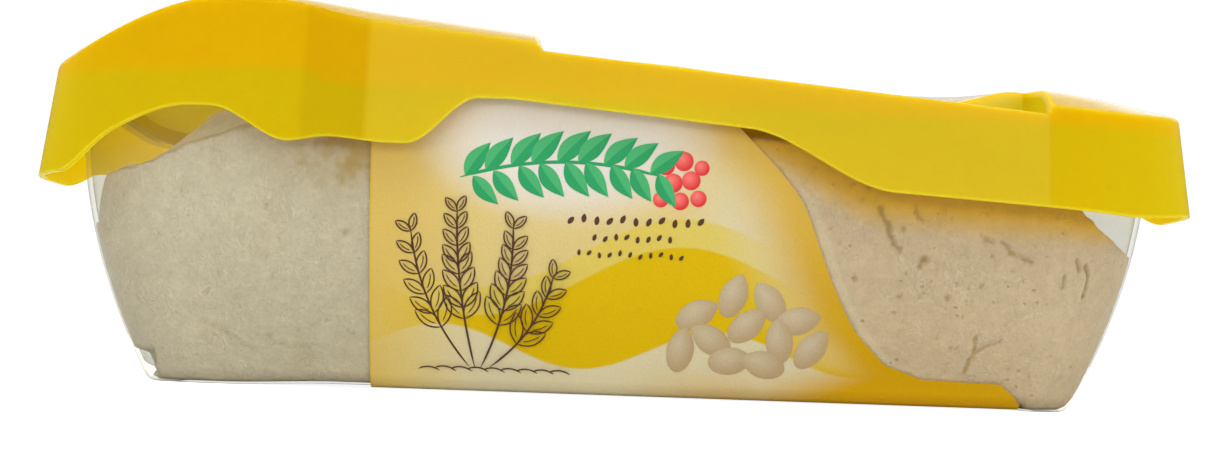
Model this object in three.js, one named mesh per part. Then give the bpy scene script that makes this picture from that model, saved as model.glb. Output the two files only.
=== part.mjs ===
// A closed retail tub of sesame halva: a clear bowl-sided tub, the block of halva pressed into
// it, a printed sleeve that runs down the front, under the base and up the back, and a press-on
// lid with a waved skirt. Millimetres, +Z up, the long sides along X, the front at -Y, standing
// on Z = 0 with the origin under the middle.
//
// Every level plan is a rounded rectangle: the points at distance r from one core rectangle.
// A track coordinate runs along the front half of that plan, from the middle of the left end
// (-TRACK_END) through the front corner arcs to the middle of the right end (+TRACK_END). But for
// the halva and the skirt's ends, the back half repeats the front half turned by half a turn.

import * as THREE from 'three';

// Core rectangle shared by all plans, as half sizes.
const CORE_X = 70.5;
const CORE_Y = 25.5;

// Tub: the wall is a parabola that stands upright at the rim and curls in towards the foot.
const TUB_WALL = 0.9;
const RIM_Z = 49.0;
const RIM_RADIUS = 23.05;
const WALL_CURL = 0.0055;
const RIM_TWIST = 0.00045; // rise per mm of x times mm of y, so that the rim follows the lid
const FLANGE_RADIUS = 26.3;
const FLANGE_THICKNESS = 0.5;
const WALL_LEVELS = [2.4, 5, 8, 12, 17, 23, 29, 35, 41, 46];
const WALL_FOOT_Z = WALL_LEVELS[0];
const FOOT_OUTER_RADIUS = 8.8;
const FOOT_INNER_RADIUS = 4.4;
const FOOT_KNEE = [0.55, 0.3]; // shares of the way out and up from the foot's edge to the wall
const BASE_RADIUS = 3.6;
const BASE_Z = 1.5;
const FLOOR_CORNER = 1.5; // the floor's edge, in from the wall
const FLOOR_CHAMFER = 0.4;

// The long sides of the foot stand clear of the ground so that the sleeve can pass under them.
const FOOT_RELIEF = 0.6;
const RELIEF_LEFT = [-66, -46];
const RELIEF_RIGHT = [CORE_X, CORE_X + 5];

// Sleeve: a thin printed sheet on the straight part of the wall. Under the base its two edges
// lean, so that the front's left edge becomes the back's right edge.
const SLEEVE_GAP = 0.1;
const SLEEVE_THICKNESS = 0.25;
const SLEEVE_RIM_GAP = 0.3;
const SLEEVE_LEFT_X = -40.3;
const SLEEVE_RIGHT_X = 16.8; // at SLEEVE_START_Z, before SLEEVE_STEPS
const SLEEVE_START_Z = 47.2;
const SLEEVE_TAIL_X = 70.1;
const SLEEVE_LEVELS = [
  46, 44, 41, 38, 35, 32, 29, 26, 23, 20, 17, 14.5, 12, 10, 8, 6.4, 5, 4.2, 3.4, WALL_FOOT_Z,
];
const SLEEVE_FOOT_POINTS = 4; // section points from the knee to the base

// Halva: where it leaves the wall it is highest in the middle and slumps towards both ends, and
// from its shoulder the top swells to a mound, which leans with the lid's twist.
const FILL_GAP = 0.3;
const FILL_FLOOR_BEVEL = [[1.6, 0], [0.4, 0.5]]; // distance in from the wall, height above the floor
const FILL_WALL_LEVELS = [5, 8, 12, 17, 22];
const FILL_CLIMB = [0.35, 0.7, 1]; // shares of the way up from the last level
const FILL_SHOULDER = 1.5;
const FILL_SHOULDER_WIDTH = 5;
const MOUND_SHARES = [0.88, 0.72, 0.5, 0.25]; // of the way out from the middle to the shoulder
const MOUND_RISE = 9;
const MOUND_TWIST = 0.0025; // added rise per mm of x times mm of y

// Lid: a skirt that flares downwards, and a thin domed top with a thumb recess on each long side.
const LID_WALL = 1.0;
const SKIRT_RADIUS = 30;
const SKIRT_Z = 34;
const SKIRT_FLARE = 0.125;
const LID_EDGE_BEVEL = 0.8;
const LID_EDGE_DEPTH = 1.4; // the top's thickness where it meets the skirt
const DOME_EDGE = 9; // the top climbs over this distance from its edge
const DOME_RINGS = [0.33, 0.65, 1]; // shares of DOME_EDGE
const DOME_Y = 30; // the distance from the long axis at which DOME_STEPS apply
const DOME_TOP_SHARES = [0.75, 0.4];
const RECESS_LEFT = [-14, -12];
const RECESS_RIGHT = [70, 70.8];
const RECESS_WALL = [19.5, 21.5]; // distance in from the edge
const RIB_RADII = [25.6, 24.4]; // outer and inner face of the rib that sits on the rim
const RIB_GAP = 0.3;
const RIB_LEAST = 0.1; // the rib's depth where the top is lowest

const ARC_RADIUS = SKIRT_RADIUS; // radius at which the track is measured round the corners
const ARC_LENGTH = ARC_RADIUS * Math.PI / 2;
const TRACK_END = CORE_X + ARC_LENGTH + CORE_Y;

// A wave is a starting level and steps [from, to, rise], each smooth or, with 'straight', ramped.
// Skirt's lower edge and lid's upper edge along the track, from the left end to the right end.
const END_NOTCH = 127;
const SKIRT_END_Z = 36.8;
const SKIRT_STEPS = [
  [-TRACK_END, -END_NOTCH, -2.4],
  [-96, -70, 10.8],
  [-67, -54, -5.4],
  [-54, -44, 1.05],
  [-34, -21, 7.4],
  [-17, 21, -3.45, 'straight'],
  [20.5, 46, -9.8],
  [46, 84, -2.3, 'straight'],
  [84, 112, 1.7],
  [END_NOTCH, TRACK_END, 2.4],
];
// Over both ends the skirt's lower edge also climbs towards the back, and along the back's long
// side it comes down again.
const END_RISE = 7.0;
const END_RISE_Y = [-8, 26];
const END_RISE_TRACK = [60, 112];
const EDGE_END_Z = 53.0;
const EDGE_STEPS = [
  [-TRACK_END, -112, 0.8],
  [-103.5, -63, 9.75],
  [-61, -41, -2.5],
  [-50, -14, -3.5, 'straight'],
  [...RECESS_LEFT, -1.25],
  [RECESS_LEFT[1], RECESS_RIGHT[0], -7.55, 'straight'],
  [...RECESS_RIGHT, 1.0],
  [72, 80, -0.3],
  [86, 112, 1.6],
  [112, TRACK_END, 1.95],
];

// Height of the lid's top along x, at DOME_Y in front of the long axis.
const DOME_END_Z = 56.5;
const DOME_STEPS = [
  [-92, -62, 6.3],
  [-60, -40, -1.2],
  [-45, 10, -3.8, 'straight'],
  [10, 48, -4.0, 'straight'],
  [46, 56, -0.6],
  [57, 69, 2.3],
  [66, 92, -2.7],
];

// Height at which the halva leaves the tub's wall, along x.
const FILL_END_Z = 26.5;
const FILL_STEPS = [
  [-90, -83, 8.0],
  [-88, -54, 8.8],
  [58, 95, -18.6],
];

// Sleeve's right edge, by depth under SLEEVE_START_Z: an S that ends in a long tail at the foot.
const SLEEVE_STEPS = [
  [0, 47, 21.9, 'straight'],
  [-6, 16, 8],
  [35, 44, 7],
  [41.2, 43.9, 17],
];

const clamp01 = (value) => Math.min(1, Math.max(0, value));

const mix = (a, b, share) => a + (b - a) * share;

const smooth = (value, from, to) => {
  const s = clamp01((value - from) / (to - from));
  return s * s * (3 - 2 * s);
};

const wave = (value, start, steps) =>
  steps.reduce((level, [from, to, rise, straight]) => {
    const share = straight ? clamp01((value - from) / (to - from)) : smooth(value, from, to);
    return level + rise * share;
  }, start);

// Rounded climb from 0 to 1 that starts steep and ends level.
const shoulder = (share) => 1 - (1 - clamp01(share)) ** 2;

// Plan point [x, y] at a column of the track and distance r from the core rectangle.
function plan({ track, back }, r) {
  const along = Math.abs(track);
  const side = Math.sign(track);
  const turned = back ? -1 : 1;
  let x = track;
  let y = -CORE_Y - r;
  if (along > CORE_X + ARC_LENGTH) {
    x = side * (CORE_X + r);
    y = -CORE_Y + along - CORE_X - ARC_LENGTH;
  } else if (along > CORE_X) {
    const angle = (along - CORE_X) / ARC_RADIUS;
    x = side * (CORE_X + r * Math.sin(angle));
    y = -CORE_Y - r * Math.cos(angle);
  }
  return [turned * x, turned * y];
}

const evenly = (from, to, count) =>
  Array.from({ length: count }, (_, i) => mix(from, to, i / count));

// Columns right round the plan, anticlockwise from above, from stations on the long front side.
function columnsWith(frontStations, arcSegments, endStations = []) {
  const arc = [...evenly(CORE_X, CORE_X + ARC_LENGTH, arcSegments), CORE_X + ARC_LENGTH];
  const corner = [...arc, ...endStations];
  const left = [TRACK_END, ...corner.slice().reverse()].map((track) => -track);
  const half = [...left, ...frontStations, ...corner];
  return [false, true].flatMap((back) => half.map((track) => ({ track, back })));
}

// Closed body from rings of points with the same count. Rings run so that their direction of
// travel and their own direction of turning form a right-handed screw. Both ends close in a fan.
function loft(rings) {
  const count = rings[0].length;
  const points = rings.flat();
  const faces = [];
  for (let ring = 0; ring < rings.length - 1; ring += 1) {
    for (let i = 0; i < count; i += 1) {
      const a = ring * count + i;
      const b = ring * count + (i + 1) % count;
      faces.push(a, b, b + count, a, b + count, a + count);
    }
  }
  const centreOf = (ring) => [0, 1, 2].map((k) => ring.reduce((sum, p) => sum + p[k], 0) / count);
  const first = points.push(centreOf(rings[0])) - 1;
  const last = points.push(centreOf(rings[rings.length - 1])) - 1;
  const lastRing = (rings.length - 1) * count;
  for (let i = 0; i < count; i += 1) {
    const next = (i + 1) % count;
    faces.push(first, next, i, last, lastRing + i, lastRing + next);
  }
  const geometry = new THREE.BufferGeometry();
  geometry.setAttribute('position', new THREE.Float32BufferAttribute(points.flat(), 3));
  geometry.setIndex(faces);
  geometry.computeVertexNormals();
  return geometry;
}

// Ring of points at distance r from the core. Both r and the height are numbers or functions.
function ringAt(columns, r, height) {
  return columns.map((column) => {
    const radius = typeof r === 'function' ? r(column) : r;
    const [x, y] = plan(column, radius);
    const z = typeof height === 'function' ? height(column, x, y, radius) : height;
    return [x, y, z];
  });
}

const wallRadius = (z) => RIM_RADIUS - WALL_CURL * (RIM_Z - z) ** 2;

const kneeRadius = mix(FOOT_OUTER_RADIUS, wallRadius(WALL_FOOT_Z), FOOT_KNEE[0]);

const kneeHeight = (footZ) => mix(footZ, WALL_FOOT_Z, FOOT_KNEE[1]);

const rimHeight = (x, y) => RIM_Z + RIM_TWIST * x * y;

const footHeight = ({ track }) =>
  FOOT_RELIEF * smooth(track, ...RELIEF_LEFT) * (1 - smooth(track, ...RELIEF_RIGHT));

function tubGeometry() {
  const columns = columnsWith([-66, -61, -56, -51, -46, 10], 7);
  const flange = (drop) => (_, x, y) => rimHeight(x, y) - drop;
  const insideFoot = wallRadius(WALL_FOOT_Z) - TUB_WALL;
  const floorZ = BASE_Z + TUB_WALL;
  const outside = [
    ringAt(columns, BASE_RADIUS, BASE_Z),
    ringAt(columns, FOOT_INNER_RADIUS, footHeight),
    ringAt(columns, FOOT_OUTER_RADIUS, footHeight),
    ringAt(columns, kneeRadius, (column) => kneeHeight(footHeight(column))),
    ...WALL_LEVELS.map((z) => ringAt(columns, wallRadius(z), z)),
    ringAt(columns, RIM_RADIUS, flange(FLANGE_THICKNESS)),
    ringAt(columns, FLANGE_RADIUS, flange(FLANGE_THICKNESS)),
    ringAt(columns, FLANGE_RADIUS, flange(0)),
  ];
  const inside = [
    ringAt(columns, RIM_RADIUS - TUB_WALL, flange(0)),
    ...WALL_LEVELS.slice(1).reverse().map((z) => ringAt(columns, wallRadius(z) - TUB_WALL, z)),
    ringAt(columns, insideFoot - FLOOR_CHAMFER, floorZ + FLOOR_CHAMFER),
    ringAt(columns, insideFoot - FLOOR_CORNER, floorZ),
  ];
  return loft([...outside, ...inside]);
}

const fillHeight = (x) => wave(x, FILL_END_Z, FILL_STEPS);

// Height of the halva's top at a point, a share of the way out from the middle to the shoulder.
const moundHeight = (x, y, share) =>
  fillHeight(x) + FILL_SHOULDER + (MOUND_RISE + MOUND_TWIST * x * y) * (1 - share ** 2);

function halvaGeometry() {
  const columns = columnsWith([-64, -57, -50, 0, 58, 64], 8);
  const inner = (z) => wallRadius(z) - TUB_WALL - FILL_GAP;
  const floorZ = BASE_Z + TUB_WALL + FILL_GAP;
  const contact = (column) => fillHeight(plan(column, RIM_RADIUS)[0]);
  const climb = (share) => (column) => mix(FILL_WALL_LEVELS.at(-1), contact(column), share);
  const top = (inset) => {
    const rise = FILL_SHOULDER * shoulder(inset / FILL_SHOULDER_WIDTH);
    return ringAt(columns, (column) => inner(contact(column)) - inset,
      (column) => contact(column) + rise);
  };
  const plateau = top(FILL_SHOULDER_WIDTH);
  const mound = (share) => plateau.map(([x, y]) =>
    [x * share, y * share, moundHeight(x * share, y * share, share)]);
  return loft([
    ...FILL_FLOOR_BEVEL.map(([inset, rise]) => ringAt(columns, inner(floorZ) - inset, floorZ + rise)),
    ...FILL_WALL_LEVELS.map((z) => ringAt(columns, inner(z), z)),
    ...FILL_CLIMB.map((share) => ringAt(columns, (column) => inner(climb(share)(column)), climb(share))),
    top(FILL_SHOULDER_WIDTH * 0.4),
    plateau,
    ...MOUND_SHARES.map(mound),
  ]);
}

// Section of the tub's outside on its long side, from the rim to the base, as [distance from the
// core, height].
const sleeveSection = [
  [RIM_RADIUS, RIM_Z],
  ...SLEEVE_LEVELS.map((z) => [wallRadius(z), z]),
  [kneeRadius, kneeHeight(FOOT_RELIEF)],
  [FOOT_OUTER_RADIUS, FOOT_RELIEF],
  [FOOT_INNER_RADIUS, FOOT_RELIEF],
  [BASE_RADIUS, BASE_Z],
];

// The same section moved out by a distance, along the mean normal of its neighbours.
function offsetSection(section, distance) {
  return section.map(([r, z], i) => {
    const [r0, z0] = section[Math.max(0, i - 1)];
    const [r1, z1] = section[Math.min(section.length - 1, i + 1)];
    const length = Math.hypot(r1 - r0, z1 - z0);
    return [r + distance * (z0 - z1) / length, z + distance * (r1 - r0) / length];
  });
}

const sleeveRight = (z) =>
  Math.min(SLEEVE_TAIL_X, wave(SLEEVE_START_Z - z, SLEEVE_RIGHT_X, SLEEVE_STEPS));

function sleeveGeometry() {
  const faceIn = offsetSection(sleeveSection, SLEEVE_GAP);
  const faceOut = offsetSection(sleeveSection, SLEEVE_GAP + SLEEVE_THICKNESS);
  const kneeIndex = sleeveSection.length - SLEEVE_FOOT_POINTS;
  const footY = CORE_Y + FOOT_OUTER_RADIUS;
  const front = sleeveSection.map(([, z], i) => {
    const outY = -CORE_Y - faceOut[i][0];
    const inY = -CORE_Y - faceIn[i][0];
    const right = i > kneeIndex ? SLEEVE_TAIL_X : sleeveRight(z);
    const lean = i < kneeIndex ? 0 : clamp01((footY + outY) / footY / 2);
    const leftX = mix(SLEEVE_LEFT_X, -SLEEVE_TAIL_X, lean);
    const rightX = mix(right, -SLEEVE_LEFT_X, lean);
    const topZ = (x) => rimHeight(x, outY) - FLANGE_THICKNESS - SLEEVE_RIM_GAP;
    const heightAt = (face, x) => (i > 0 ? face[i][1] : topZ(x));
    return [
      [leftX, outY, heightAt(faceOut, leftX)],
      [leftX, inY, heightAt(faceIn, leftX)],
      [rightX, inY, heightAt(faceIn, rightX)],
      [rightX, outY, heightAt(faceOut, rightX)],
    ];
  });
  const turn = ([x, y, z]) => [-x, -y, z];
  const back = front.slice().reverse().map(([outLeft, inLeft, inRight, outRight]) =>
    [outRight, inRight, inLeft, outLeft].map(turn));
  return loft([...front, ...back]);
}

const skirtRadius = (z) => SKIRT_RADIUS - SKIRT_FLARE * (z - SKIRT_Z);

const skirtHeight = (column) => {
  const y = plan(column, ARC_RADIUS)[1];
  const along = column.back ? smooth(Math.abs(column.track), ...END_RISE_TRACK) : 1;
  return wave(column.track, SKIRT_END_Z, SKIRT_STEPS) + END_RISE * smooth(y, ...END_RISE_Y) * along;
};

const edgeHeight = ({ track }) => wave(track, EDGE_END_Z, EDGE_STEPS);

// Domed top without its recesses: a straight blend between the front profile and, behind the
// long axis, the same profile turned.
function domeHeight(x, y) {
  const front = wave(x, DOME_END_Z, DOME_STEPS);
  const back = wave(-x, DOME_END_Z, DOME_STEPS);
  return mix(front, back, (y + DOME_Y) / (2 * DOME_Y));
}

// Height of the lid's top at a column, at a distance in from its edge.
function topHeight(column, x, y, inset) {
  const edge = edgeHeight(column);
  const raised = mix(edge, domeHeight(x, y), shoulder(inset / DOME_EDGE));
  const across = smooth(column.track, ...RECESS_LEFT) * (1 - smooth(column.track, ...RECESS_RIGHT));
  const recessed = across * (1 - smooth(inset, ...RECESS_WALL));
  return mix(raised, edge, recessed);
}

function lidGeometry() {
  const stations = [
    -67, -64, -60.5, -57, -54, -51, -48, -44, -39, -34, -31, -28, -25, -21, -17,
    -14, -13, -12, -6, 2, 11, 20, 24, 28, 32, 36, 40, 44, 52, 61, 70,
  ];
  const columns = columnsWith(stations, 10, [END_NOTCH, 136]);
  const edgeRadius = (column) => skirtRadius(edgeHeight(column));
  const skirtRing = (inset, height) =>
    ringAt(columns, (column) => skirtRadius(height(column)) - inset, height);
  const topRing = (inset, drop) =>
    ringAt(columns, (column) => edgeRadius(column) - inset,
      (column, x, y) => topHeight(column, x, y, inset) - drop);
  const seat = (_, x, y) => rimHeight(x, y) + RIB_GAP;
  const ribTop = (column, x, y, r) =>
    Math.max(seat(column, x, y) + RIB_LEAST, topHeight(column, x, y, edgeRadius(column) - r) - LID_WALL);
  const innermost = topRing(RECESS_WALL[1] + 1, 0);
  const plateau = (share, drop) => innermost.map(([x, y]) =>
    [x * share, y * share, domeHeight(x * share, y * share) - drop]);
  const under = [
    ...DOME_TOP_SHARES.slice().reverse().map((share) => plateau(share, LID_WALL)),
    topRing(RECESS_WALL[1], LID_WALL),
    topRing(RECESS_WALL[0], LID_WALL),
    topRing(DOME_EDGE, LID_WALL),
    ringAt(columns, RIB_RADII[1], ribTop),
    ringAt(columns, RIB_RADII[1], seat),
    ringAt(columns, RIB_RADII[0], seat),
    ringAt(columns, RIB_RADII[0], ribTop),
    skirtRing(LID_WALL, (column) => edgeHeight(column) - LID_EDGE_DEPTH),
    skirtRing(LID_WALL, skirtHeight),
  ];
  const over = [
    skirtRing(0, skirtHeight),
    skirtRing(0, (column) => edgeHeight(column) - LID_EDGE_BEVEL),
    topRing(LID_EDGE_BEVEL, 0),
    ...DOME_RINGS.map((share) => topRing(DOME_EDGE * share, 0)),
    topRing(RECESS_WALL[0], 0),
    topRing(RECESS_WALL[1], 0),
    ...DOME_TOP_SHARES.map((share) => plateau(share, 0)),
  ];
  return loft([...under, ...over]);
}

function piece(name, geometry, finish) {
  const mesh = new THREE.Mesh(geometry, new THREE.MeshStandardMaterial(finish));
  mesh.name = name;
  return mesh;
}

const pack = new THREE.Group();
pack.add(
  piece('tub', tubGeometry(), { color: 0xe9e9e4, roughness: 0.12, metalness: 0 }),
  piece('halva', halvaGeometry(), { color: 0xc9b88f, roughness: 0.75, metalness: 0 }),
  piece('sleeve', sleeveGeometry(), { color: 0xf0d37a, roughness: 0.4, metalness: 0 }),
  piece('lid', lidGeometry(), { color: 0xe3bb12, roughness: 0.3, metalness: 0 }),
);

export default pack;
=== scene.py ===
"""Closed retail tub of sesame halva: clear tub, pressed halva, printed sleeve and waved yellow lid.

Shapes are worked out in millimetres, with +Z up, the long sides along X and the front at -Y, and
are put into the meshes in metres.
"""

import math

import bpy
import numpy as np
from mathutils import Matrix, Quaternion


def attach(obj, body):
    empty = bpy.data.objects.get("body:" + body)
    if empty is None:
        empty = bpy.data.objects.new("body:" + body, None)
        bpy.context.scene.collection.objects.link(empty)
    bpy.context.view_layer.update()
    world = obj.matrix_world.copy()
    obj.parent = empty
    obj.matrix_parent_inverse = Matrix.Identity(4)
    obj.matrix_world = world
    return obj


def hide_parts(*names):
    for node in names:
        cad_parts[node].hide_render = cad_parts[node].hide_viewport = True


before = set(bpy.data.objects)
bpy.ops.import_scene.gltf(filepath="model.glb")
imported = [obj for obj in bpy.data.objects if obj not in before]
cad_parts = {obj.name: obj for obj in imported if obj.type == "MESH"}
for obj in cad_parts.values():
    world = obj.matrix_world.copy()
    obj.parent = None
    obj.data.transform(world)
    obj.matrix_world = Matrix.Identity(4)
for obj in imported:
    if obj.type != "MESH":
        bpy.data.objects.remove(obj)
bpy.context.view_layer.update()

bl_info = {
    "name": "Tub of sesame halva",
    "version": (1, 0, 0),
    "blender": (4, 5, 0),
    "location": "3D View > Sidebar > Halva tub",
    "description": "Makes a clear tub of halva with a printed sleeve and a waved lid",
    "category": "Add Mesh",
}

MM = 0.001

# Core rectangle shared by all level plans, as half sizes, and the radius that measures the track.
CORE_X, CORE_Y = 70.5, 25.5
ARC_RADIUS = 30.0
ARC_LENGTH = ARC_RADIUS * math.pi / 2
TRACK_END = CORE_X + ARC_LENGTH + CORE_Y

# Tub.
TUB_WALL = 0.9
RIM_Z, RIM_RADIUS, RIM_TWIST = 49.0, 23.05, 0.00045
WALL_CURL = 0.0055
WALL_FOOT_Z = 2.4
FLANGE_RADIUS, FLANGE_THICKNESS = 26.3, 0.5
FOOT_OUTER_RADIUS, FOOT_INNER_RADIUS = 8.8, 4.4
FOOT_KNEE = (0.55, 0.3)
BASE_RADIUS, BASE_Z = 3.6, 1.5
FLOOR_CORNER = 1.5
FOOT_RELIEF = 0.6
RELIEF_LEFT, RELIEF_RIGHT = (-66.0, -46.0), (CORE_X, CORE_X + 5.0)

# Sleeve.
SLEEVE_GAP, SLEEVE_THICKNESS, SLEEVE_RIM_GAP = 0.1, 0.25, 0.3
SLEEVE_LEFT_X, SLEEVE_RIGHT_X, SLEEVE_TAIL_X = -40.3, 16.9, 70.1
SLEEVE_START_Z, PRINT_TOP = 47.2, 47.5
FILM_SPAN = 100.0  # millimetres to one unit of the film's map
SLEEVE_STEPS = [(0, 47, 19.1, "straight"), (-6, 16, 8.9), (24, 42, 1.6), (33, 43.4, 3.6),
                (39.6, 42.9, 5.1), (42.3, 42.75, 13.1), (42.5, 45.6, 1.9)]

# Halva.
FILL_END_Z = 26.5
FILL_STEPS = [(-92, -86, 8.0), (-88, -54, 8.8), (53.5, 98.5, -17.5)]
FILL_SHOULDER, FILL_SHOULDER_WIDTH = 1.5, 5.0
MOUND_RISE, MOUND_TWIST, MOUND_START = 9.0, 0.0025, (-79.0, -70.0)
HALVA_SINK = 0.28  # the block's face lies this far inside the wall's outer face
HALVA_FLOOR_Z = 1.95

# The halva's missing corner: how far the face stands back there, how greasy the wall is over it, and
# where it fades out at the top, at its left end and at its right end, which bends below a height.
MISSING_DEPTH, CORNER_SMEAR = 2.2, 1.6
CORNER_TOP, CORNER_LEFT = (4.9, 6.0), (-138.0, -128.0)
CORNER_RIGHT, CORNER_BEND, CORNER_BEND_Z = -88.2, 0.92, 4.6

# The halva's stain, the shade of the lid on it, and the paler margin beside the sleeve.
STAIN_TRACK, STAIN_Z, STAIN_LENGTH, STAIN_HEIGHT = -40.0, 42.5, 12.5, 8.5
SHADE_START, SHADE_DEPTH, SHADE_SHORTER = 0.5, 6.8, 0.9
SHADE_SHORTER_TRACK = (62.0, 84.0)
SHADE_TRACK, TOP_SHADE_TRACK = (-20.0, 15.0), ((5.0, 15.0), (36.0, 46.0))
MARGIN, MARGIN_LEAST_Z = ((0.2, 0.6), (1.6, 2.3)), 6.0

# The small pits that are strewn on all sides, and how far round its middle each is worked out.
PIT_COUNT, PIT_SEED, PIT_REACH = 420, 71, 3.0

# Lid.
LID_WALL = 1.0
SKIRT_RADIUS, SKIRT_Z, SKIRT_FLARE = 30.0, 34.0, 0.125
LID_EDGE_BEVEL, LID_EDGE_DEPTH = 0.8, 1.4
DOME_EDGE, DOME_Y = 9.0, 30.0
RECESS_LEFT, RECESS_RIGHT, RECESS_WALL = (-14.0, -12.0), (70.0, 70.8), (19.5, 21.5)
RIB_RADII = (25.6, 24.4)
RIB_GAP, RIB_LEAST = 0.3, 0.1
END_NOTCH = 127.0
SKIRT_END_Z = 36.8
SKIRT_STEPS = [
    (-TRACK_END, -END_NOTCH, -2.4), (-95, -83, 3.2), (-95, -69, 7.7), (-66, -52.9, -5.45),
    (-54, -46.5, 1.0), (-46.5, -37, -0.7), (-34, -22.6, 7.9), (-17, 21, -3.45, "straight"),
    (20.5, 46, -9.8), (46, 84, -2.3, "straight"), (84, 112, 1.7), (END_NOTCH, TRACK_END, 2.4),
]
END_RISE, END_RISE_Y, END_RISE_TRACK = 7.0, (-8.0, 26.0), (60.0, 112.0)
LID_BEAD = 0.18  # radius of the rounding on the skirt's lower edge
EDGE_END_Z = 53.0
EDGE_STEPS = [
    (-TRACK_END, -112, 0.8), (-103.5, -63, 9.75), (-61, -41, -2.5), (-50, -14, -3.5, "straight"),
    (-14, -12, -1.25), (-12, 70, -7.55, "straight"), (70, 70.8, 1.0), (72, 80, -0.3),
    (86, 112, 1.6), (112, TRACK_END, 1.95),
]
DOME_END_Z = 56.5
DOME_STEPS = [
    (-92, -62, 6.3), (-60, -40, -1.2), (-45, 10, -3.8, "straight"), (10, 48, -4.0, "straight"),
    (46, 56, -0.6), (57, 69, 2.3), (66, 92, -2.7),
]

# Painted light on the lid, each with where it fades in and out along the track: a band of painted
# shade, a paler patch of painted sheen beside it, how far the backlit tone above the rim's level comes
# down under it at the left arch, how strong the painted highlight on the upper corner is on the right,
# and where the recess's painted glow ends.
SHADED_BAND = (-52.0, -50.4), (-40.7, -40.2)
SHEEN_PANEL = (-40.5, -40.1), (69.9, 70.3)
BACKLIT_DIP, BACKLIT_DIP_TRACK = 2.2, ((-76.0, -58.0), (-52.0, -46.0))
RECESS_SHEEN = (70.8, 72.0)
CORNER_HIGHLIGHT, CORNER_HIGHLIGHT_TRACK = 0.8, (-48.0, -30.0)

# Open marks in the halva's face on the front. A crack is a line [(track, height), ...] with its half
# width and depth. A pit is (track, height, radius, depth).
CRACKS = [
    ([(44.0, 33.0), (45.0, 31.0), (46.0, 28.8), (46.6, 27.2), (47.6, 26.3)], 0.40, 0.85),
    ([(50.0, 33.2), (50.5, 31.6)], 0.30, 0.6),
    ([(61.4, 28.6), (63.1, 28.1)], 0.30, 0.65),
    ([(64.6, 28.1), (66.0, 26.4), (68.0, 25.6), (69.6, 24.8)], 0.30, 0.75),
    ([(61.5, 12.2), (61.5, 9.6), (61.0, 8.4), (60.0, 5.9)], 0.34, 0.7),
    ([(61.5, 9.6), (63.5, 10.8), (65.5, 11.6)], 0.26, 0.6),
    ([(81.5, 25.6), (82.6, 24.0)], 0.44, 0.75),
    ([(84.4, 24.6), (86.0, 23.1), (86.0, 21.0)], 0.50, 0.85),
    ([(78.5, 22.8), (78.5, 21.0)], 0.44, 0.6),
    ([(-57.4, 8.6), (-56.4, 7.4), (-53.5, 6.9), (-50.4, 6.5)], 0.20, 0.42),
    ([(-68.5, 10.6), (-64.5, 8.7), (-59.4, 5.7)], 0.22, 0.35),
    ([(-57.4, 21.9), (-57.0, 19.8), (-56.4, 17.7)], 0.18, 0.35),
    ([(-71.5, 34.0), (-69.5, 29.7)], 0.18, 0.25),
]
PITS = [
    (52.0, 24.7, 0.9, 1.0), (51.1, 23.5, 0.55, 0.8), (40.5, 21.2, 0.55, 0.8), (48.0, 18.4, 0.5, 0.7),
    (56.0, 18.5, 0.5, 0.7), (61.5, 20.5, 0.4, 0.6), (59.5, 20.4, 0.35, 0.6), (57.5, 20.9, 0.3, 0.5),
    (39.0, 36.6, 0.4, 0.6), (42.0, 36.1, 0.4, 0.6), (41.0, 34.2, 0.35, 0.6), (48.0, 29.6, 0.4, 0.6),
    (63.0, 25.7, 0.45, 0.6), (72.0, 6.1, 0.4, 0.5), (55.0, 11.9, 0.4, 0.6), (57.0, 6.3, 0.4, 0.5),
    (37.5, 27.0, 0.35, 0.5), (36.0, 29.4, 0.35, 0.5), (51.5, 18.4, 0.3, 0.5), (59.0, 15.5, 0.4, 0.6),
    (76.5, 29.9, 0.45, 0.6), (74.5, 32.4, 0.4, 0.5), (78.0, 33.4, 0.35, 0.5), (57.4, 10.2, 0.4, 0.6),
    (58.4, 10.3, 0.35, 0.6), (68.5, 21.8, 0.35, 0.5), (65.5, 21.4, 0.35, 0.5), (67.5, 6.9, 0.4, 0.5),
    (86.0, 19.9, 0.7, 0.9), (61.4, 8.7, 0.65, 0.7), (-44.3, 25.7, 0.5, 0.6), (-49.4, 28.2, 0.35, 0.4),
    (-57.4, 29.9, 0.5, 0.5), (-67.5, 15.3, 0.5, 0.4), (-51.4, 19.5, 0.35, 0.5),
    (-47.3, 11.5, 0.35, 0.6), (-88.0, 31.2, 0.6, 0.4), (-72.0, 31.9, 0.45, 0.45),
    (-72.5, 33.6, 0.4, 0.35), (-76.5, 36.4, 0.4, 0.35), (-86.0, 7.7, 0.35, 0.4),
    (-65.5, 3.2, 0.3, 0.6), (-51.4, 5.0, 2.4, 0.2),
]


# ---- Shapes -------------------------------------------------------------------------------------


def smooth(value, start, end):
    """Share s of the way from start to end, eased as s * s * (3 - 2 s)."""
    s = np.clip((value - start) / (end - start), 0.0, 1.0)
    return s * s * (3.0 - 2.0 * s)


def between(value, rise, fall):
    """Share that eases from 0 to 1 over the rise and back to 0 over the fall."""
    return smooth(value, *rise) * (1.0 - smooth(value, *fall))


def mix(a, b, share):
    """Straight blend a + (b - a) * share."""
    return a + (b - a) * share


def wave(value, start, steps):
    """A starting level plus the rise of each step, eased or, with 'straight', ramped."""
    level = start + 0.0 * value
    for begin, end, rise, *straight in steps:
        share = np.clip((value - begin) / (end - begin), 0.0, 1.0)
        level = level + rise * (share if straight else smooth(value, begin, end))
    return level


def bow(start, bend, end, s):
    """Parabola pulled towards a bend: start (1 - s) squared + bend 2 s (1 - s) + end s squared."""
    return start * (1 - s) ** 2 + bend * 2 * s * (1 - s) + end * s ** 2


def climb(share):
    """Rounded climb from 0 to 1 that starts steep and ends level: 1 - (1 - share) squared."""
    return 1.0 - (1.0 - np.clip(share, 0.0, 1.0)) ** 2


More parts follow.
